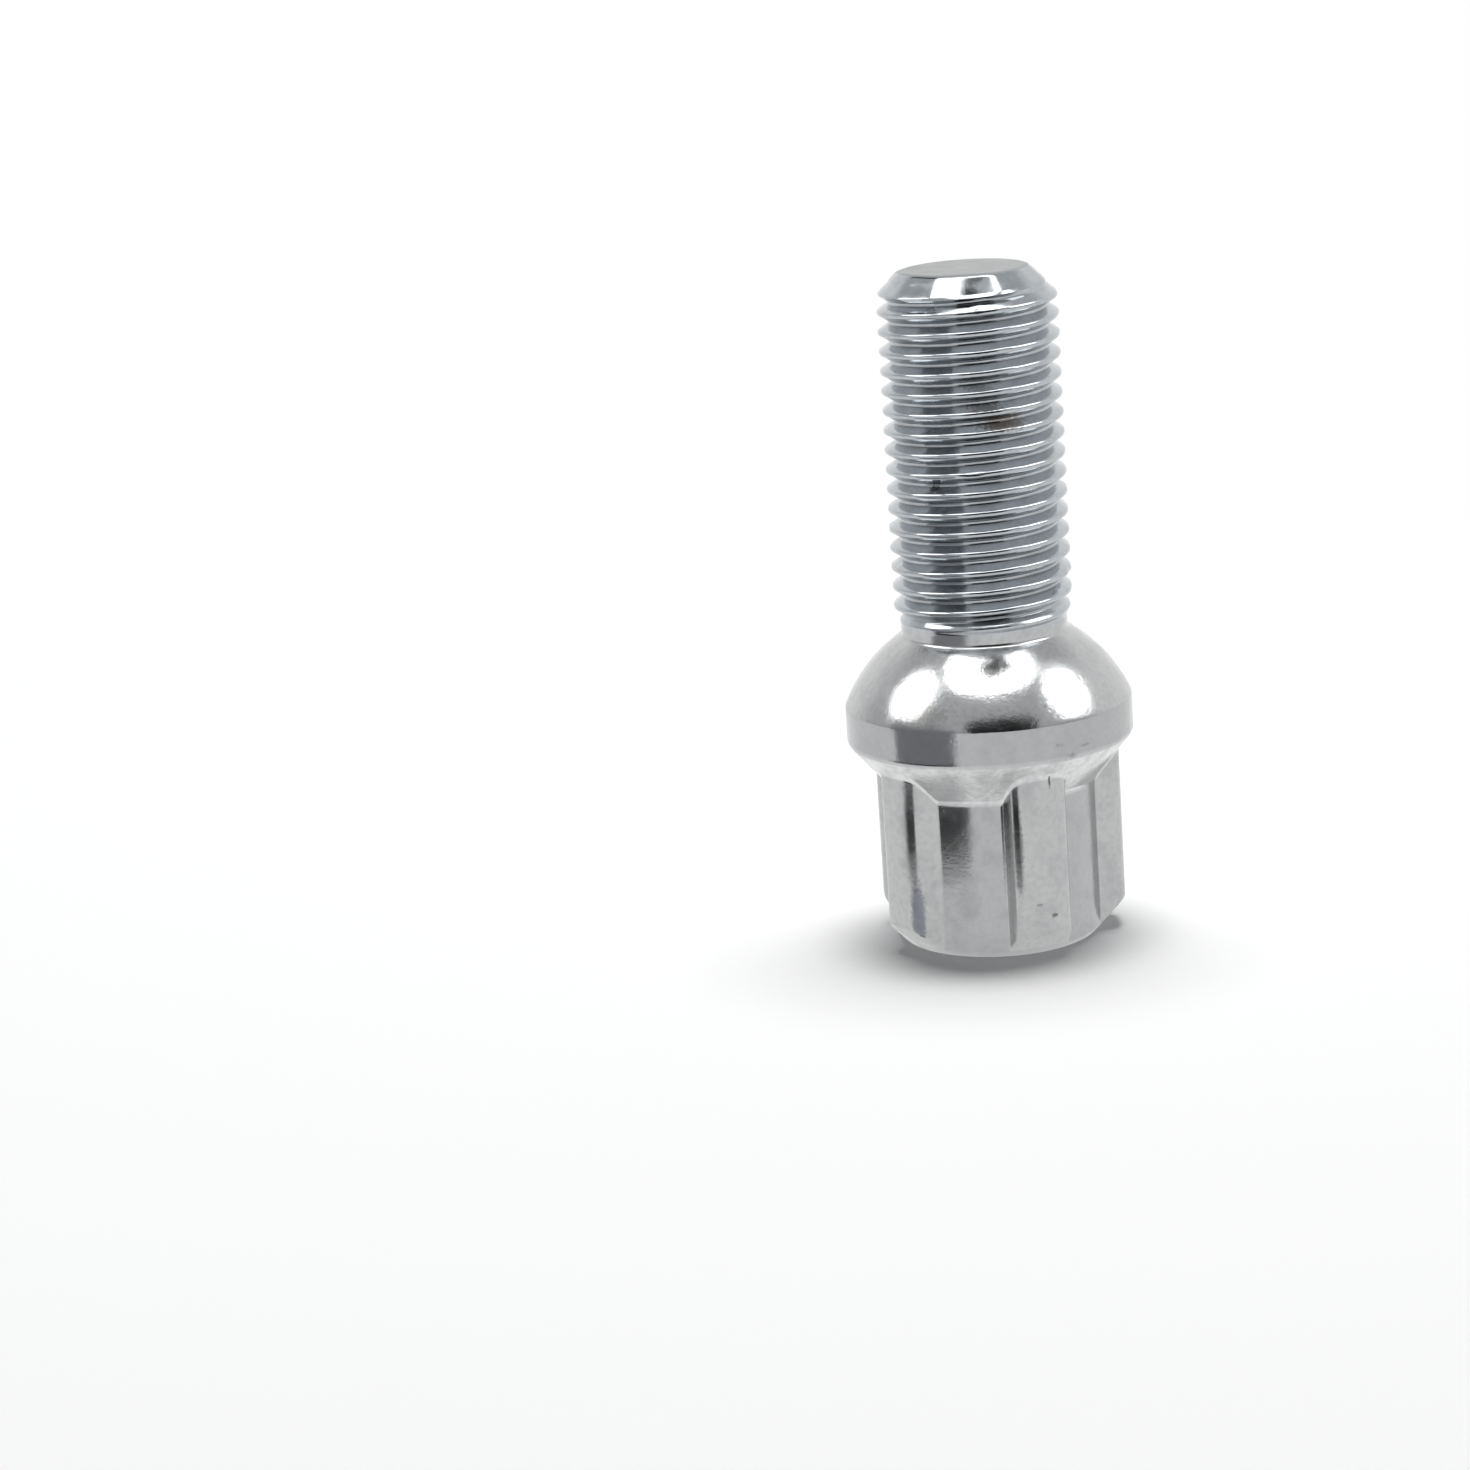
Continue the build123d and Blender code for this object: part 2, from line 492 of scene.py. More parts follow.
# %% List the rings from the neck down
UPPER_NECK = 24.4
ABOVE_BALL = 0.22
BALL_ROWS = 22
BELOW_FLANGE_TOP = 0.4
ABOVE_FLANGE_UNDERSIDE = 0.62
TAPER_ROWS = (0.75, 0.4)
SIDE_ROWS = (0.97, 0.88, 0.7, 0.5, 0.3, 0.12, 0.03)
rings = [ring(NECK_RADIUS, UPPER_NECK, 0.0), ring(NECK_RADIUS, NECK_START + ABOVE_BALL, 0.0)]
neck_edge = len(rings)
ball_start = asin(NECK_RADIUS / SEAT_RADIUS)
ball_end = asin(FLANGE_RADIUS / SEAT_RADIUS)
for row in range(BALL_ROWS + 1):
    part = row / BALL_ROWS
    lean = ball_start + (ball_end - ball_start) * part
    rings.append(ring(SEAT_RADIUS * sin(lean), SEAT_CENTRE + SEAT_RADIUS * cos(lean), part))
flange_top_edge = len(rings) - 1
rings.append(ring(FLANGE_RADIUS, FLANGE_TOP - BELOW_FLANGE_TOP, 1.0))
rings.append(ring(FLANGE_RADIUS, (FLANGE_TOP + FLANGE_UNDERSIDE) / 2, 1.0))
rings.append(ring(FLANGE_RADIUS, FLANGE_UNDERSIDE + ABOVE_FLANGE_UNDERSIDE, 1.0))
rings.append(taper_ring(1.0))
flange_low_edge = len(rings) - 1
for part in TAPER_ROWS:
    rings.append(taper_ring(part))
rings.append(rib_ring(1.0))
run_out_edge = len(rings) - 1
for part in SIDE_ROWS:
    rings.append(rib_ring(part))
rings.append(rib_ring(0.0))
chamfer_edge = len(rings) - 1
rings.append(chamfer_ring(0.5))
rings.append(chamfer_ring(1.0))
end_edge = len(rings) - 1
print(len(rings), "rings from the neck to the end face")

# %% Extrude the rings
head = start_from(
    bpy.ops.mesh.primitive_circle_add,
    "head",
    vertices=COLUMNS,
    radius=NECK_RADIUS * MM,
    location=(0, 0, THREAD_FOOT * MM),
)
bpy.ops.object.transform_apply(location=True)
column_layer = head.data.attributes.new("column", "INT", "POINT")
for vertex in head.data.vertices:
    turn = degrees(atan2(vertex.co.y, vertex.co.x)) % 360.0
    column_layer.data[vertex.index].value = round(turn / 360.0 * COLUMNS) % COLUMNS
ring_layer = head.data.attributes.new("ring", "INT", "POINT")
for vertex in head.data.vertices:
    ring_layer.data[vertex.index].value = -1
    vertex.select = True
for number, places in enumerate(rings):
    bpy.ops.object.mode_set(mode="EDIT")
    bpy.ops.mesh.extrude_region_move()
    bpy.ops.object.mode_set(mode="OBJECT")
    # Edit mode rebuilds the mesh, so both layers are fetched again.
    column_layer = head.data.attributes["column"]
    ring_layer = head.data.attributes["ring"]
    for vertex in head.data.vertices:
        if vertex.select:
            angle, radius, height = places[column_layer.data[vertex.index].value]
            flat = Vector((radius * cos(radians(angle)), radius * sin(radians(angle)), height))
            vertex.co = flat * MM
            ring_layer.data[vertex.index].value = number
print("the head has", len(head.data.polygons), "faces")

# %% [markdown]
# ## Close the end and round the edges
# The end face is filled and inset, so that its ring is held by a narrow band. Then each edge that
# the forging or the turning left rounded gets its bevel. The widest is the bright line where the
# ribs run out on the taper.

# %% Close the end face
END_INSET = 1.3
SAME_RADIUS = 0.001
bpy.ops.object.mode_set(mode="EDIT")
bpy.ops.mesh.edge_face_add()
bpy.ops.mesh.inset(thickness=END_INSET * MM)
bpy.ops.object.mode_set(mode="OBJECT")
print("the closed head has", len(head.data.polygons), "faces")

# %% Bevel the edges, each as (ring, width, segments)
BEVELS = (
    (neck_edge, 0.17, 4),
    (flange_top_edge, 0.12, 4),
    (flange_low_edge, 0.27, 5),
    (run_out_edge, 0.3, 5),
    (chamfer_edge, 0.12, 3),
    (end_edge, 0.14, 3),
)


def on_ring(vertex, number, ring_values):
    """Whether a point belongs to this ring, and not to the inset of the end face."""
    return ring_values[vertex.index] == number and off_axis(vertex) > NECK_RADIUS - SAME_RADIUS


for number, width, segments in BEVELS:
    ring_values = [item.value for item in head.data.attributes["ring"].data]
    chosen = select_points(head, lambda v: on_ring(v, number, ring_values))
    bpy.ops.object.mode_set(mode="EDIT")
    bpy.ops.mesh.bevel(offset=width * MM, segments=segments, profile=0.5, affect="EDGES")
    bpy.ops.mesh.select_all(action="DESELECT")
    bpy.ops.object.mode_set(mode="OBJECT")
    print("ring", number, "bevelled at", chosen, "points")

# %% [markdown]
# ## One piece of steel
# The real bolt is one piece, so its mesh is one closed skin. The head's top ring and the thread's
# lowest ring have the same points, so joining both and merging what lies together closes the seam.

# %% Join the head to the thread
SMOOTH_ANGLE = 40.0
bpy.ops.object.select_all(action="DESELECT")
head.select_set(True)
bolt.select_set(True)
bpy.context.view_layer.objects.active = bolt
bpy.ops.object.join()
bpy.ops.object.mode_set(mode="EDIT")
bpy.ops.mesh.select_all(action="SELECT")
bpy.ops.mesh.remove_doubles(threshold=END_WELD * MM)
bpy.ops.mesh.normals_make_consistent(inside=False)
bpy.ops.mesh.select_all(action="DESELECT")
bpy.ops.mesh.select_non_manifold()
bpy.ops.object.mode_set(mode="OBJECT")
open_points = sum(vertex.select for vertex in bolt.data.vertices)
triangles = sum(len(polygon.vertices) - 2 for polygon in bolt.data.polygons)
print("open points:", open_points, "triangles:", triangles)
bpy.ops.object.select_all(action="DESELECT")
bolt.select_set(True)
bpy.ops.object.shade_smooth_by_angle(angle=radians(SMOOTH_ANGLE))

# %% [markdown]
# ## Dents and nicks
# A used wheel bolt gets small dents where it was knocked. A dent changes the outline and the
# reflection, so it is made in the mesh: points near the mark move inwards, most in its middle. The
# pits that are too small for the mesh come later, in the finish.

# %% Press the dents into the mesh, each as (centre, width, depth)
DENT_REACH = 3
LEAST_DEPTH = 0.001
DENTS = (
    ((1.1, -6.74, 37.42), 0.34, 0.15),
    ((1.75, -6.6, 37.4), 0.34, 0.15),
    ((2.35, -6.3, 49.25), 0.3, 0.14),
    ((1.5, -6.55, 50.45), 0.35, 0.12),
    ((6.8, 0.27, 28.2), 0.4, 0.16),
    ((7.35, -8.19, 17.0), 0.3, 0.05),
    ((8.87, -6.5, 16.6), 0.32, 0.05),
    ((6.22, -7.57, 14.7), 0.3, 0.04),
    ((-4.0, -8.95, 7.6), 0.35, 0.05),
)


def dent_depth(point):
    """How far the dents push a point inwards, in millimetres."""
    depth = 0.0
    for centre, width, deepest in DENTS:
        distance = (point / MM - Vector(centre)).length
        if distance < DENT_REACH * width:
            depth += deepest * exp(-((distance / width) ** 2))
    return depth


dented = 0
for vertex in bolt.data.vertices:
    depth = dent_depth(vertex.co)
    if depth > LEAST_DEPTH:
        outward = Vector((vertex.co.x, vertex.co.y, 0)).normalized()
        vertex.co = vertex.co - outward * depth * MM
        dented += 1
print("points moved by", len(DENTS), "dents:", dented)

# %% [markdown]
# ## Tools for the finish
# A material is a network of nodes. Written out one by one it gets long, so we first write a few
# short helpers: one adds a node, one fills a socket, and the others do a sum, a soft step, a noise
# or a mix of two colours. The floor and the world use them too.

# %% Write the helpers for nodes and sums
VECTOR = "NodeSocketVector"
FLOAT = "NodeSocketFloat"


def put(tree, kind, **settings):
    """Adds a node to a tree and gives it its settings."""
    node = tree.nodes.new(kind)
    for name, value in settings.items():
        setattr(node, name, value)
    return node


def feed(tree, socket, source):
    """Links a source into a socket, or writes a plain value into it."""
    if isinstance(source, bpy.types.NodeSocket):
        tree.links.new(source, socket)
    else:
        socket.default_value = source


def calc(tree, operation, *values):
    """The result of a sum on sockets or numbers."""
    node = put(tree, "ShaderNodeMath", operation=operation)
    for socket, value in zip(node.inputs, values):
        feed(tree, socket, value)
    return node.outputs["Value"]


def vector_calc(tree, operation, answer, *values):
    """The result of a sum on vectors, read from the named answer."""
    node = put(tree, "ShaderNodeVectorMath", operation=operation)
    for socket, value in zip(node.inputs, values):
        feed(tree, socket, value)
    return node.outputs[answer]


print("helpers for sums:", put.__name__, feed.__name__, calc.__name__, vector_calc.__name__)


# %% Write the helpers for patterns and colours
def rise(tree, value, low, high):
    """Rises smoothly from 0 to 1 while value goes from low to high."""
    node = put(tree, "ShaderNodeMapRange", interpolation_type="SMOOTHSTEP")
    feed(tree, node.inputs["Value"], value)
    feed(tree, node.inputs["From Min"], low)
    feed(tree, node.inputs["From Max"], high)
    return node.outputs["Result"]


def noise_of(tree, place, scale, detail):
    """A cloudy value between 0 and 1, with blobs of about 1/scale millimetres."""
    node = put(tree, "ShaderNodeTexNoise")
    feed(tree, node.inputs["Vector"], place)
    feed(tree, node.inputs["Scale"], scale)
    node.inputs["Detail"].default_value = detail
    return node.outputs["Fac"]


def mixed(tree, factor, a, b):
    """Colour a where factor is 0 and colour b where it is 1."""
    node = put(tree, "ShaderNodeMix", data_type="RGBA")
    feed(tree, node.inputs["Factor"], factor)
    feed(tree, node.inputs["A"], a)
    feed(tree, node.inputs["B"], b)
    return node.outputs["Result"]


print("helpers for patterns:", rise.__name__, noise_of.__name__, mixed.__name__)


# %% Write the helper for node groups
def new_group(name, inputs, outputs):
    """An empty node group with these sockets, its input node and its output node."""
    group = bpy.data.node_groups.new(name, "ShaderNodeTree")
    for label, kind, value in inputs:
        socket = group.interface.new_socket(name=label, in_out="INPUT", socket_type=kind)
        socket.default_value = value
    for label in outputs:
        group.interface.new_socket(name=label, in_out="OUTPUT", socket_type=FLOAT)
    return group, put(group, "NodeGroupInput").outputs, put(group, "NodeGroupOutput").inputs


print("helper for groups:", new_group.__name__)

# %% [markdown]
# ## Effects as node groups
# Three effects are built once, and then used wherever they are needed. A spot is one mark with a
# ragged edge at a known place, full up to half its size and fading from there to its edge. Pits are
# small random holes. Satin is the fine unevenness of plated steel, which makes the edges of
# reflections ragged.

# %% Build the group for a spot
SPOT_EDGE = 1.0
SPOT_CORE = 0.5
spot, given, result = new_group(
    "spot",
    (
        ("Place", VECTOR, (0, 0, 0)),
        ("Centre", VECTOR, (0, 0, 0)),
        ("Size", VECTOR, (1, 1, 1)),
        ("Unevenness", FLOAT, 0.0),
        ("Ragged", FLOAT, 0.3),
    ),
    ("Mask",),
)
from_centre = vector_calc(spot, "SUBTRACT", "Vector", given["Place"], given["Centre"])
in_sizes = vector_calc(spot, "DIVIDE", "Vector", from_centre, given["Size"])
spot_distance = vector_calc(spot, "LENGTH", "Value", in_sizes)
raggedness = calc(spot, "MULTIPLY", given["Unevenness"], given["Ragged"])
spot_distance = calc(spot, "ADD", spot_distance, raggedness)
feed(spot, result["Mask"], rise(spot, spot_distance, SPOT_EDGE, SPOT_CORE))
print("group:", spot.name)

# %% Build the group for pits
PIT_RANGE = 0.3
pits, given, result = new_group(
    "pits",
    (("Place", VECTOR, (0, 0, 0)), ("Scale", FLOAT, 3.0), ("Rareness", FLOAT, 0.65)),
    ("Mask",),
)
pit_noise = noise_of(pits, given["Place"], given["Scale"], 2.0)
pit_full = calc(pits, "ADD", given["Rareness"], PIT_RANGE)
feed(pits, result["Mask"], rise(pits, pit_noise, given["Rareness"], pit_full))
print("group:", pits.name)

# %% Build the group for satin
BROAD_WEIGHT = 2.0
satin, given, result = new_group(
    "satin",
    (("Place", VECTOR, (0, 0, 0)), ("Fine", FLOAT, 6.0), ("Broad", FLOAT, 0.6)),
    ("Height", "Clouds"),
)
fine_waves = calc(satin, "SUBTRACT", noise_of(satin, given["Place"], given["Fine"], 3.0), 0.5)
broad_waves = calc(satin, "SUBTRACT", noise_of(satin, given["Place"], given["Broad"], 2.0), 0.5)
waves = calc(satin, "ADD", fine_waves, calc(satin, "MULTIPLY", broad_waves, BROAD_WEIGHT))
feed(satin, result["Height"], waves)
feed(satin, result["Clouds"], calc(satin, "ADD", broad_waves, 0.5))
print("group:", satin.name)

# %% [markdown]
# ## The plating
# The steel is plated with a thin bright metal layer. It is metal all through, so one Principled
# shader with Metallic at 1 does it, and its colour, roughness and bump tell the story of use. A
# picture wrapped round the bolt could do the same, but it would blur close up and show a seam. So
# all patterns are computed, and follow the object's own coordinates in millimetres.

# %% Start the plating's material
metal = bpy.data.materials.new("bright_plating")
metal.use_nodes = True
tree = metal.node_tree
surface = tree.nodes["Principled BSDF"]
surface.inputs["Metallic"].default_value = 1.0
object_place = put(tree, "ShaderNodeTexCoord").outputs["Object"]
place_mm = vector_calc(tree, "MULTIPLY", "Vector", object_place, (1 / MM, 1 / MM, 1 / MM))
split = put(tree, "ShaderNodeSeparateXYZ")
feed(tree, split.inputs["Vector"], place_mm)
height_mm = split.outputs["Z"]
flat_place = vector_calc(tree, "MULTIPLY", "Vector", place_mm, (1.0, 1.0, 0.0))
radius_mm = vector_calc(tree, "LENGTH", "Value", flat_place)
print("material started:", metal.name)


def use_group(group, **values):
    """Places a group in the material, fills its sockets and returns its outputs."""
    node = put(tree, "ShaderNodeGroup", node_tree=group)
    for name, value in values.items():
        feed(tree, node.inputs[name], value)
    return node.outputs


def times(a, b):
    """The product of two values in the material."""
    return calc(tree, "MULTIPLY", a, b)


# %% [markdown]
# ## Zones
# Each face of the bolt was made in its own way, so the plating looks different on it: the thread was
# rolled, the ball and the taper were turned, and the ribs were forged. The taper is also painted
# paler, which is painted light, and the flutes between the ribs get painted shade. A zone is a value
# that is 1 on one kind of face and 0 elsewhere. It could be painted on the mesh, but a height or a
# distance off the axis says the same. Each pair of numbers says where a zone starts and where it is
# full.

# %% Find the bolt's zones
ABOVE_NECK = (24.4, 25.4)
BELOW_FLANGE = (16.6, 15.6)
AT_TIP = (51.66, 51.74)
ABOVE_FLANGE = (18.4, 18.6)
UNDER_BALL = (18.7, 18.55)
DEEP_IN_THREAD = (6.34, 6.06)
OUT_ON_THREAD = (6.7, 6.8)
OUT_ON_FLANGE = (10.8, 10.95)
DEEP_IN_HEAD = (8.12, 8.02)
NEAR_TAPER = (0.3, 0.1)
on_shank = rise(tree, height_mm, *ABOVE_NECK)
off_shank = calc(tree, "SUBTRACT", 1.0, on_shank)
on_head = rise(tree, height_mm, *BELOW_FLANGE)
on_tip_face = rise(tree, height_mm, *AT_TIP)
on_ball = times(rise(tree, height_mm, *ABOVE_FLANGE), off_shank)
in_root = times(rise(tree, radius_mm, *DEEP_IN_THREAD), on_shank)
on_crest = times(rise(tree, radius_mm, *OUT_ON_THREAD), on_shank)
taper_slope = tan(radians(TAPER_ANGLE))
taper_foot = CORE_RADIUS - TAPER_START * taper_slope
taper_radius = calc(tree, "MULTIPLY_ADD", height_mm, taper_slope, taper_foot)
off_taper = calc(tree, "ABSOLUTE", calc(tree, "SUBTRACT", radius_mm, taper_radius))
on_taper = times(rise(tree, off_taper, *NEAR_TAPER), on_head)
on_band = times(rise(tree, radius_mm, *OUT_ON_FLANGE), rise(tree, height_mm, *UNDER_BALL))
in_flute = times(rise(tree, radius_mm, *DEEP_IN_HEAD), on_head)
print("nodes after the zones:", len(tree.nodes))

# %% [markdown]
# ## Satin, pits and marks
# Plated steel is never as smooth as glass. Its surface has waves of several sizes: fine satin, soft
# dents left by forging, and a grain that only shows close up. On top of that come the marks of use:
# dark specks and a brown stain on the thread. Dark streaks down the corners of two ribs and a dark
# patch on the ball are painted reflections. Some tones here, such as the streak beside a rib, were
# chosen to match the brightness in the photograph.

# %% Lay the satin and the pits
skin = use_group(satin, Place=place_mm, Fine=5.0, Broad=0.55)
coarse = use_group(satin, Place=place_mm, Fine=1.9, Broad=0.2)
grain = use_group(satin, Place=place_mm, Fine=14.0, Broad=3.0)
pitted = times(use_group(pits, Place=place_mm, Scale=1.5, Rareness=0.55)["Mask"], off_shank)
UNEVEN_SCALE = 4.0
UNEVEN_STRENGTH = 3.0
centred_noise = calc(tree, "SUBTRACT", noise_of(tree, place_mm, UNEVEN_SCALE, 2.0), 0.5)
unevenness = times(centred_noise, UNEVEN_STRENGTH)
print("nodes after the satin:", len(tree.nodes))

# %% Place the dark marks, each as (centre, size, raggedness, strength)
DARK_MARKS = (
    ((-1.75, -6.2, 36.1), (0.5, 0.9, 0.33), 0.4, 1.0),
    ((-1.78, -6.25, 40.57), (0.4, 0.3, 0.14), 0.5, 0.6),
    ((6.38, -1.24, 28.21), (0.3, 0.35, 0.3), 0.5, 0.6),
    ((8.06, -7.48, 16.04), (0.4, 0.4, 0.2), 0.8, 0.3),
    ((8.87, -6.5, 16.6), (0.45, 0.45, 0.16), 0.8, 0.3),
    ((7.35, -8.19, 17.0), (0.4, 0.4, 0.14), 0.8, 0.2),
    ((9.16, -3.49, 11.47), (0.3, 0.4, 0.3), 0.6, 0.5),
    ((6.18, -7.6, 3.55), (0.35, 0.35, 0.16), 0.6, 0.7),
    ((5.23, -8.29, 4.52), (0.3, 0.3, 0.12), 0.6, 0.35),
    ((6.24, -7.56, 14.1), (0.12, 0.14, 0.8), 0.3, 0.8),
    ((-4.1, -8.4, 1.9), (0.32, 0.35, 0.25), 0.6, 0.7),
)


def spot_mask(centre, size, ragged, strength):
    """Where a spot covers the metal, from 0 to its strength."""
    sockets = {"Centre": centre, "Size": size, "Unevenness": unevenness, "Ragged": ragged}
    return times(use_group(spot, Place=place_mm, **sockets)["Mask"], strength)


dark_marks = 0.0
for centre, size, ragged, strength in DARK_MARKS:
    dark_marks = calc(tree, "MAXIMUM", dark_marks, spot_mask(centre, size, ragged, strength))
print(len(DARK_MARKS), "dark marks")

# %% List the stains and the painted reflections, each as (centre, size, raggedness, colour, strength)
STAINS_AND_PAINTED_REFLECTIONS = (
    ((3.7, -5.3, 40.85), (2.5, 1.9, 0.75), 0.5, (0.22, 0.19, 0.17, 1), 0.75),
    ((2.6, -6.0, 42.1), (1.8, 1.2, 0.35), 0.6, (0.16, 0.15, 0.14, 1), 0.7),
    ((2.0, -6.2, 43.6), (1.4, 0.8, 0.3), 0.6, (0.2, 0.19, 0.18, 1), 0.5),
    # A painted reflection: a dark blue streak down a corner of the rib left of the front flute.
    ((-4.2, -8.85, 3.6), (0.75, 0.9, 3.6), 0.2, (0.13, 0.145, 0.18, 1), 0.7),
    # A painted reflection: a dark streak down a corner of the rib right of the front flute.
    ((3.9, -8.35, 9.3), (0.5, 1.3, 5.0), 0.2, (0.09, 0.1, 0.1, 1), 0.7),
    ((-0.4, -8.0, 4.4), (1.3, 0.8, 1.8), 0.3, (0.32, 0.33, 0.34, 1), 0.35),
    ((-2.7, -10.1, 19.7), (2.6, 1.6, 1.0), 0.6, (0.27, 0.26, 0.24, 1), 0.45),
    # A painted reflection: a dark patch on the ball, right of the front.
    ((7.3, -7.3, 20.0), (1.3, 1.3, 0.7), 0.9, (0.2, 0.2, 0.2, 1), 0.5),
    ((-6.6, 1.5, 34.0), (1.2, 1.6, 1.1), 0.6, (0.24, 0.19, 0.16, 1), 0.6),
    ((2.2, 8.9, 9.5), (1.6, 1.0, 1.2), 0.6, (0.3, 0.29, 0.28, 1), 0.5),
)
print(len(STAINS_AND_PAINTED_REFLECTIONS), "stains")

# %% [markdown]
# ## Colour, roughness and bump
# The rolled thread is a little blue and the ribs are a plain grey. The taper is painted palest, which
# is painted light: it stands in for the bright floor that the taper mirrors. The flutes between the
# ribs are darkened as painted shade, and the flange's band is darker. Clouds and mottling darken all
# of it here and there, and the thread's roots are darker in clouds. Some of the stains are painted
# reflections. Each layer is mixed over the one before. Where there are clouds or marks the metal is
# also rougher, as tarnish is. Bump heights are real heights in millimetres.

# %% Mix the colour
HEAD_METAL = (0.5, 0.505, 0.505, 1)
SHANK_METAL = (0.475, 0.505, 0.53, 1)
TIP_METAL = (0.37, 0.385, 0.385, 1)
# Painted light: the taper's pale colour stands in for the bright floor that the taper mirrors.
PAINTED_LIGHT_ON_TAPER = (0.72, 0.725, 0.725, 1)
SHADE = (0.36, 0.37, 0.38, 1)
ROOT_GREY = (0.2, 0.2, 0.2, 1)
MARK = (0.05, 0.05, 0.06, 1)
CLOUDINESS = 0.32
# Painted shade: how far the flutes between the ribs are darkened.
PAINTED_FLUTE_SHADE = 0.4
BAND_SHADE = 0.5
ROOT_DARKENING = 0.4
MOTTLING = 0.3
MOTTLING_SCALE = 2.4
MARK_STRENGTH = 0.85
CLOUD_RANGE = (0.42, 0.72)
ROOT_CLOUD_RANGE = (0.3, 0.7)
MOTTLING_RANGE = (0.36, 0.72)
cloudy = times(rise(tree, skin["Clouds"], *CLOUD_RANGE), CLOUDINESS)
rooted = times(in_root, rise(tree, coarse["Clouds"], *ROOT_CLOUD_RANGE))
mottled = rise(tree, noise_of(tree, place_mm, MOTTLING_SCALE, 4.0), *MOTTLING_RANGE)
LAYERS = (
    (on_shank, SHANK_METAL),
    (on_tip_face, TIP_METAL),
    # Painted light on the taper.
    (on_taper, PAINTED_LIGHT_ON_TAPER),
    (cloudy, SHADE),
    # Painted shade in the flutes between the ribs.
    (times(in_flute, PAINTED_FLUTE_SHADE), SHADE),
    (times(on_band, BAND_SHADE), SHADE),
    # The thread's roots are darker, in clouds.
    (times(rooted, ROOT_DARKENING), ROOT_GREY),
    (times(mottled, MOTTLING), SHADE),
)
metal_colour = HEAD_METAL
for mask, colour in LAYERS:
    metal_colour = mixed(tree, mask, metal_colour, colour)
for centre, size, ragged, colour, strength in STAINS_AND_PAINTED_REFLECTIONS:
    metal_colour = mixed(tree, spot_mask(centre, size, ragged, strength), metal_colour, colour)
metal_colour = mixed(tree, times(dark_marks, MARK_STRENGTH), metal_colour, MARK)
feed(tree, surface.inputs["Base Color"], metal_colour)
print(len(LAYERS), "layers of colour under", len(STAINS_AND_PAINTED_REFLECTIONS), "stains")

# %% Set the roughness, each change as (where, by how much)
SHANK_ROUGHNESS = 0.13
BALL_ROUGHNESS = 0.15
HEAD_ROUGHNESS = 0.2
CHANGES = (
    (on_head, HEAD_ROUGHNESS - SHANK_ROUGHNESS),
    (on_ball, BALL_ROUGHNESS - SHANK_ROUGHNESS),
    (on_tip_face, 0.2),
    (on_crest, -0.03),
    (cloudy, 0.25),
    (dark_marks, 0.3),
)
roughness = SHANK_ROUGHNESS
for mask, change in CHANGES:
    roughness = calc(tree, "MULTIPLY_ADD", mask, change, roughness)
feed(tree, surface.inputs["Roughness"], roughness)
print("roughness from", SHANK_ROUGHNESS, "with", len(CHANGES), "changes")

# %% Raise the bump, each height in millimetres
HEIGHTS = (
    (skin["Height"], 0.0045),
    (times(coarse["Height"], off_shank), 0.008),
    (grain["Height"], 0.0012),
    (pitted, -0.006),
    (dark_marks, -0.015),
)
height = 0.0
for pattern, rising in HEIGHTS:
    height = calc(tree, "MULTIPLY_ADD", pattern, rising, height)
bump = put(tree, "ShaderNodeBump")
bump.inputs["Strength"].default_value = 1.0
bump.inputs["Distance"].default_value = MM
feed(tree, bump.inputs["Height"], height)
feed(tree, surface.inputs["Normal"], bump.outputs["Normal"])
bolt.data.materials.append(metal)
print("nodes in the material:", len(tree.nodes))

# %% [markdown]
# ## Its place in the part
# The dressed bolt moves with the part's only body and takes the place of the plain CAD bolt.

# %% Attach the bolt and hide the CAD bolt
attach(bolt, "root")
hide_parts("locking_wheel_bolt")
print(bolt.name, "takes the place of the CAD bolt")

# %% [markdown]
# ## The floor
# The bolt stands on a plain white floor. Far from the bolt the floor glows in white, so that it has
# no edge against the backdrop. Near the bolt it is plain paint, which keeps the shadow. The sides of
# the head mirror the floor beside them, and the photograph shows them bright all the way down, so
# the floor also glows in the metal's reflections. The floor's sizes are in metres.

# %% Lay the floor
FLOOR_SIZE = 3.0
FLOOR_PAINT = (0.88, 0.88, 0.88, 1)
DULLNESS = 0.9
SHADOW_REACH = 0.08
WHITE_FROM = 0.25
MIRRORED_GLOW = 0.85


def dull_paint(name, colour):
    """A paint that doesn't shine."""
    paint = bpy.data.materials.new(name)
    paint.use_nodes = True
    coat = paint.node_tree.nodes["Principled BSDF"].inputs
    coat["Base Color"].default_value = colour
    coat["Roughness"].default_value = DULLNESS
    coat["Specular IOR Level"].default_value = 0.0
    return paint


floor = start_from(bpy.ops.mesh.primitive_plane_add, "floor", size=FLOOR_SIZE)
floor_paint = dull_paint("floor_paint", FLOOR_PAINT)
ground = floor_paint.node_tree
floor_place = put(ground, "ShaderNodeTexCoord").outputs["Object"]
off_bolt = vector_calc(ground, "LENGTH", "Value", floor_place)
far_away = rise(ground, off_bolt, SHADOW_REACH, WHITE_FROM)
rays = put(ground, "ShaderNodeLightPath").outputs
seen = calc(ground, "MAXIMUM", rays["Is Camera Ray"], rays["Is Glossy Ray"])
seen = calc(ground, "MAXIMUM", seen, rays["Is Transmission Ray"])
white_part = calc(ground, "MULTIPLY", seen, far_away)
mirrored_part = calc(ground, "MULTIPLY", rays["Is Glossy Ray"], MIRRORED_GLOW)
blend = put(ground, "ShaderNodeMixShader")
feed(ground, blend.inputs["Fac"], calc(ground, "MAXIMUM", white_part, mirrored_part))
feed(ground, blend.inputs[1], ground.nodes["Principled BSDF"].outputs["BSDF"])
feed(ground, blend.inputs[2], put(ground, "ShaderNodeEmission").outputs["Emission"])
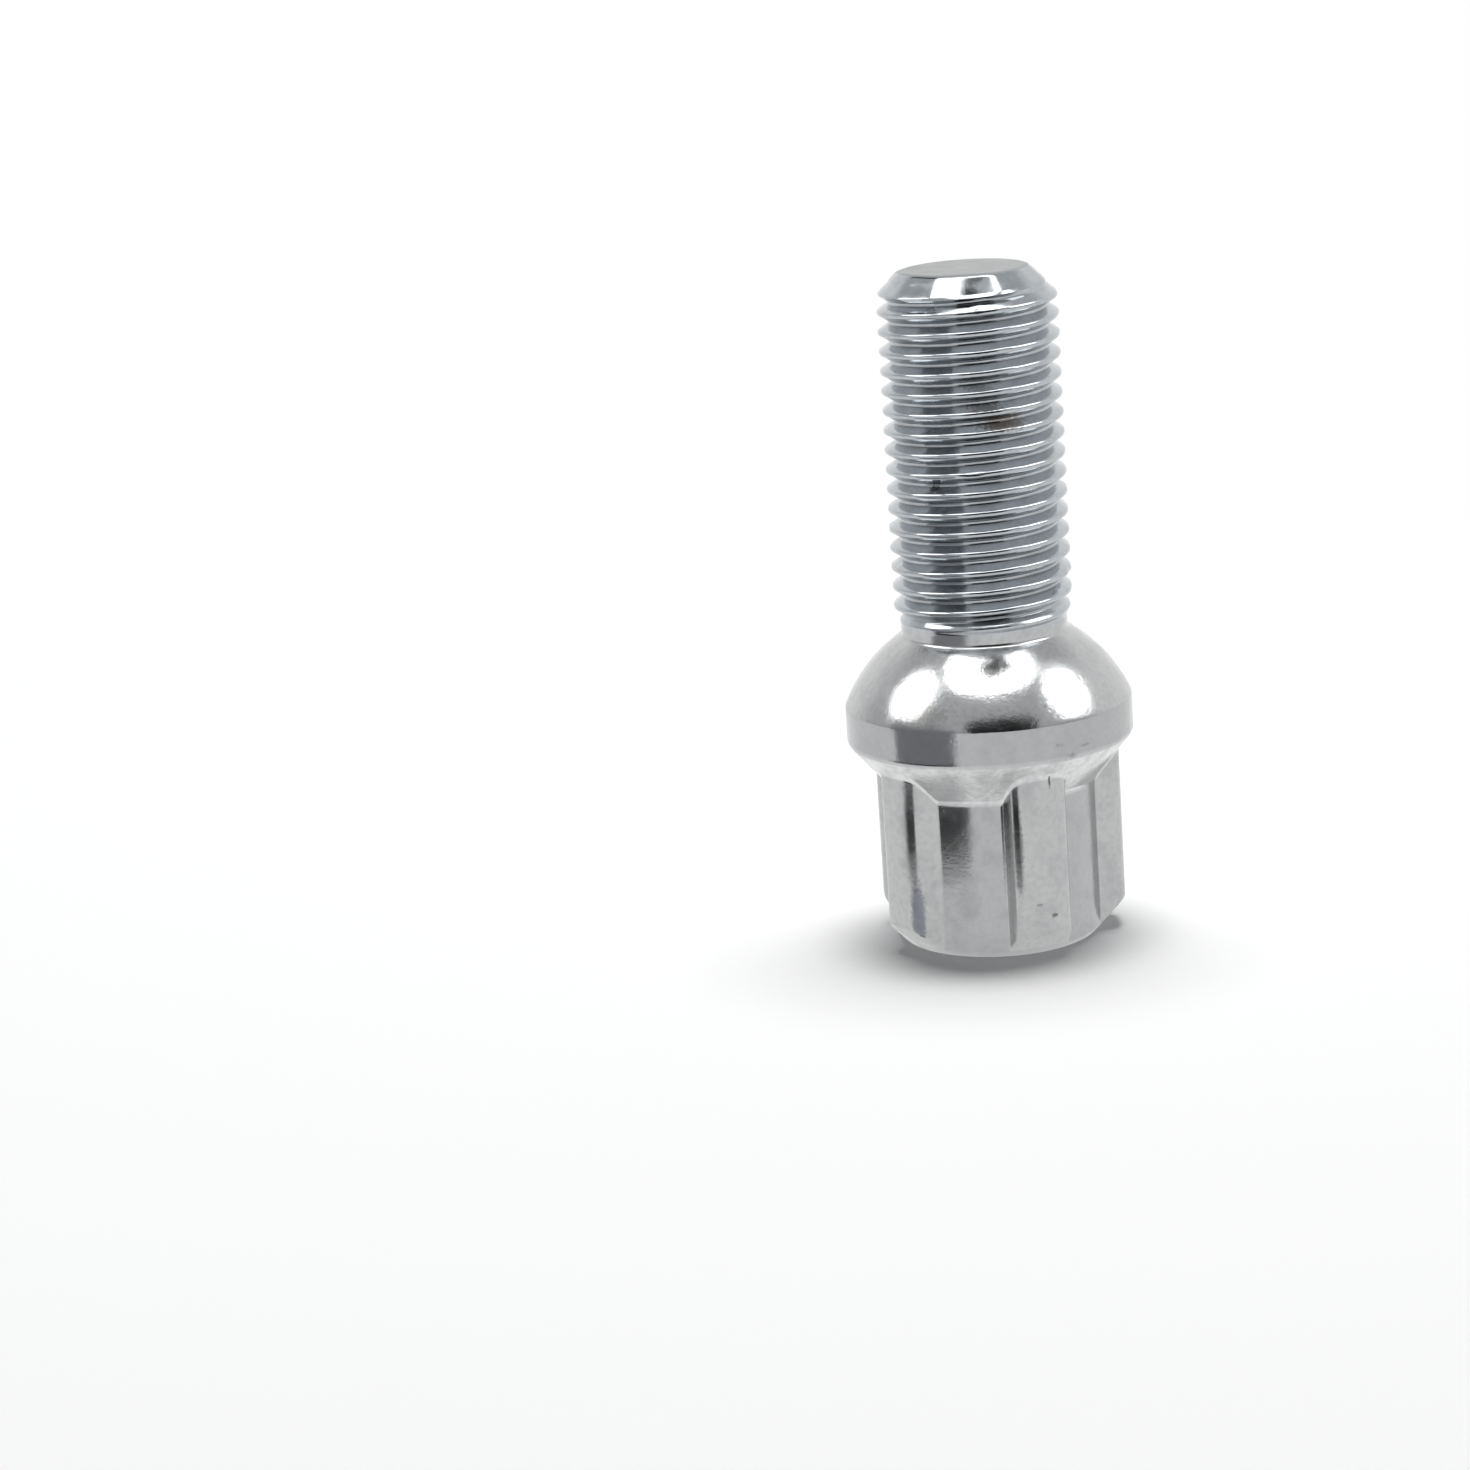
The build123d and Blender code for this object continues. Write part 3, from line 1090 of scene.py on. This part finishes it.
feed(ground, ground.nodes["Material Output"].inputs["Surface"], blend.outputs["Shader"])
floor.data.materials.append(floor_paint)
print("floor of", FLOOR_SIZE, "m, plain paint up to", SHADOW_REACH, "m from the bolt")

# %% [markdown]
# ## The lamps
# A mirror-like bolt shows its studio more than its own colour, so the studio is built with care. The
# photograph's reflections tell where three softboxes hung: one overhead and one on each side. They
# show in the metal only. One more lamp stays out of the reflections and lights the floor from above,
# because it makes the short dark shadow in front. Azimuth 0 is in front of the bolt, and it grows
# to the right. The studio's sizes are in metres.

# %% Hang the softboxes, each as (name, azimuth, elevation, width, height, level)
AIM = Vector((0, 0, 0.02))
LAMP_DISTANCE = 0.8
WATTS_PER_SQUARE_METRE = 4.0
LAMPS = (
    ("overhead", 30.0, 84.0, 0.84, 0.7, 2.2),
    ("left", -72.0, 42.0, 0.48, 0.5, 2.0),
    ("right", 99.0, 39.0, 0.54, 0.46, 2.0),
    ("floor_lamp", 184.0, 80.0, 0.5, 0.34, 9.8),
)


def direction(azimuth, elevation):
    """The direction towards an azimuth and elevation, with azimuth 0 in front of the bolt."""
    turned = radians(azimuth)
    raised = radians(elevation)
    return Vector((sin(turned) * cos(raised), -cos(turned) * cos(raised), sin(raised)))


def face_the_bolt(thing, azimuth, elevation, distance):
    """Moves a lamp or card to its place in the studio and turns it towards the bolt."""
    thing.location = AIM + direction(azimuth, elevation) * distance
    thing.rotation_euler = (AIM - thing.location).to_track_quat("-Z", "Y").to_euler()


for name, azimuth, elevation, width, height, level in LAMPS:
    lamp_data = bpy.data.lights.new(name, "AREA")
    lamp_data.shape = "ELLIPSE"
    lamp_data.size = width
    lamp_data.size_y = height
    lamp_data.energy = level * WATTS_PER_SQUARE_METRE * width * height
    lamp = bpy.data.objects.new(name, lamp_data)
    bpy.context.scene.collection.objects.link(lamp)
    face_the_bolt(lamp, azimuth, elevation, LAMP_DISTANCE)
    lamp.visible_glossy = name != "floor_lamp"
    lamp.visible_diffuse = name == "floor_lamp"
    print(name, "lamp of", round(lamp_data.energy, 2), "W")

# %% [markdown]
# ## The dark cards
# Metal only looks like metal where something dark shows in it too. Three cards face the bolt from
# farther off, and a low one close to it, in two parts, makes the dark band down the thread and the
# dark patch on the flange.
# The cards show in the metal only, except that the front one also keeps the room's light off the
# floor. The low card's lower part is black and its upper part grey, because the band is palest on
# the thread. One corner is drawn in, as the dark patch on the flange has a leaning edge.

# %% Make the cards' paints
CARD_BLUE = 1.05
NEARLY_BLACK = 0.02
MIDDLE_GREY = 0.45


def card_paint(name, grey):
    """A dull paint for a card, a little blue and as dark as grey says."""
    return dull_paint(name, (grey, grey, grey * CARD_BLUE, 1))


black_paint = card_paint("black_paint", NEARLY_BLACK)
grey_paint = card_paint("grey_paint", MIDDLE_GREY)
print("paints:", black_paint.name, grey_paint.name)


# %% Put up the cards that face the bolt, with azimuth, elevation, distance, width and height
def add_card(name, width, height, paint):
    """A card that shows in the metal only."""
    card = start_from(bpy.ops.mesh.primitive_plane_add, name, size=1.0)
    card.scale = (width, height, 1)
    card.data.materials.append(paint)
    card.visible_camera = False
    card.visible_shadow = False
    card.visible_diffuse = False
    return card


CARDS = (
    ("front_card", 24.0, 17.0, 0.5, 0.5, 0.46),
    ("back_card", -131.0, 56.0, 0.7, 0.15, 0.25),
    ("top_card", 56.0, 82.0, 0.7, 0.24, 0.17),
)
for name, azimuth, elevation, distance, width, height in CARDS:
    card = add_card(name, width, height, black_paint)
    face_the_bolt(card, azimuth, elevation, distance)
    card.visible_diffuse = name == "front_card"
print(len(CARDS), "cards face the bolt")

# %% Put up the low card in two parts, each as (name, bottom and top in millimetres, paint)
LOW_CARD_WIDTH = 0.0308
LOW_CARD_PLACE = (-0.0185, -0.02625)
LOW_CARD_TURN = -39.3
CUT_CORNER = 0.15
LOW_CARDS = (("low_card", 0.0, 7.0, black_paint), ("low_card_top", 7.0, 33.0, grey_paint))
for name, bottom, top, paint in LOW_CARDS:
    card = add_card(name, LOW_CARD_WIDTH, (top - bottom) * MM, paint)
    card.location = (*LOW_CARD_PLACE, (bottom + top) / 2 * MM)
    card.rotation_euler = (radians(90.0), 0, radians(LOW_CARD_TURN))
upper_part = bpy.data.objects["low_card_top"]
low_left = min(upper_part.data.vertices, key=lambda vertex: vertex.co.x + vertex.co.y)
low_left.co.x += CUT_CORNER
print(len(LOW_CARDS), "parts, up to", top, "mm")

# %% [markdown]
# ## The world
# The world stands for the rest of the room: a white backdrop behind the bolt and an open, greyer
# room around it. The camera sees plain white, and the metal mirrors the backdrop low behind the bolt
# and the grey room elsewhere. The floor gets only a part of the room's light, or else its shadow
# would fade.

# %% Paint the world
BACKDROP = (1.0, 1.0, 1.0, 1)
OPEN_ROOM = (0.6, 0.61, 0.62, 1)
ROOM_LIGHT_ON_FLOOR = 0.35
BEHIND = (0.0, 0.6)
LOW_DOWN = (0.75, 0.45)
world = bpy.data.worlds.new("studio")
bpy.context.scene.world = world
world.use_nodes = True
sky = world.node_tree
sky.nodes.clear()
sky_split = put(sky, "ShaderNodeSeparateXYZ")
feed(sky, sky_split.inputs["Vector"], put(sky, "ShaderNodeTexCoord").outputs["Generated"])
behind = rise(sky, sky_split.outputs["Y"], *BEHIND)
low_down = rise(sky, sky_split.outputs["Z"], *LOW_DOWN)
backdrop_part = calc(sky, "MULTIPLY", behind, low_down)
rays = put(sky, "ShaderNodeLightPath").outputs
mirrored = calc(sky, "MAXIMUM", rays["Is Glossy Ray"], rays["Is Transmission Ray"])
mirrored_backdrop = calc(sky, "MULTIPLY", mirrored, backdrop_part)
seen_backdrop = calc(sky, "MAXIMUM", rays["Is Camera Ray"], mirrored_backdrop)
dimming = ROOM_LIGHT_ON_FLOOR - 1.0
sky_light = put(sky, "ShaderNodeBackground")
room_level = calc(sky, "MULTIPLY_ADD", rays["Is Diffuse Ray"], dimming, 1.0)
feed(sky, sky_light.inputs["Strength"], room_level)
feed(sky, sky_light.inputs["Color"], mixed(sky, seen_backdrop, OPEN_ROOM, BACKDROP))
sky_output = put(sky, "ShaderNodeOutputWorld")
feed(sky, sky_output.inputs["Surface"], sky_light.outputs["Background"])
bpy.context.scene.view_settings.view_transform = "Standard"
print("world nodes:", len(sky.nodes))

# %% [markdown]
# ## Finish


print("the bolt is finished")
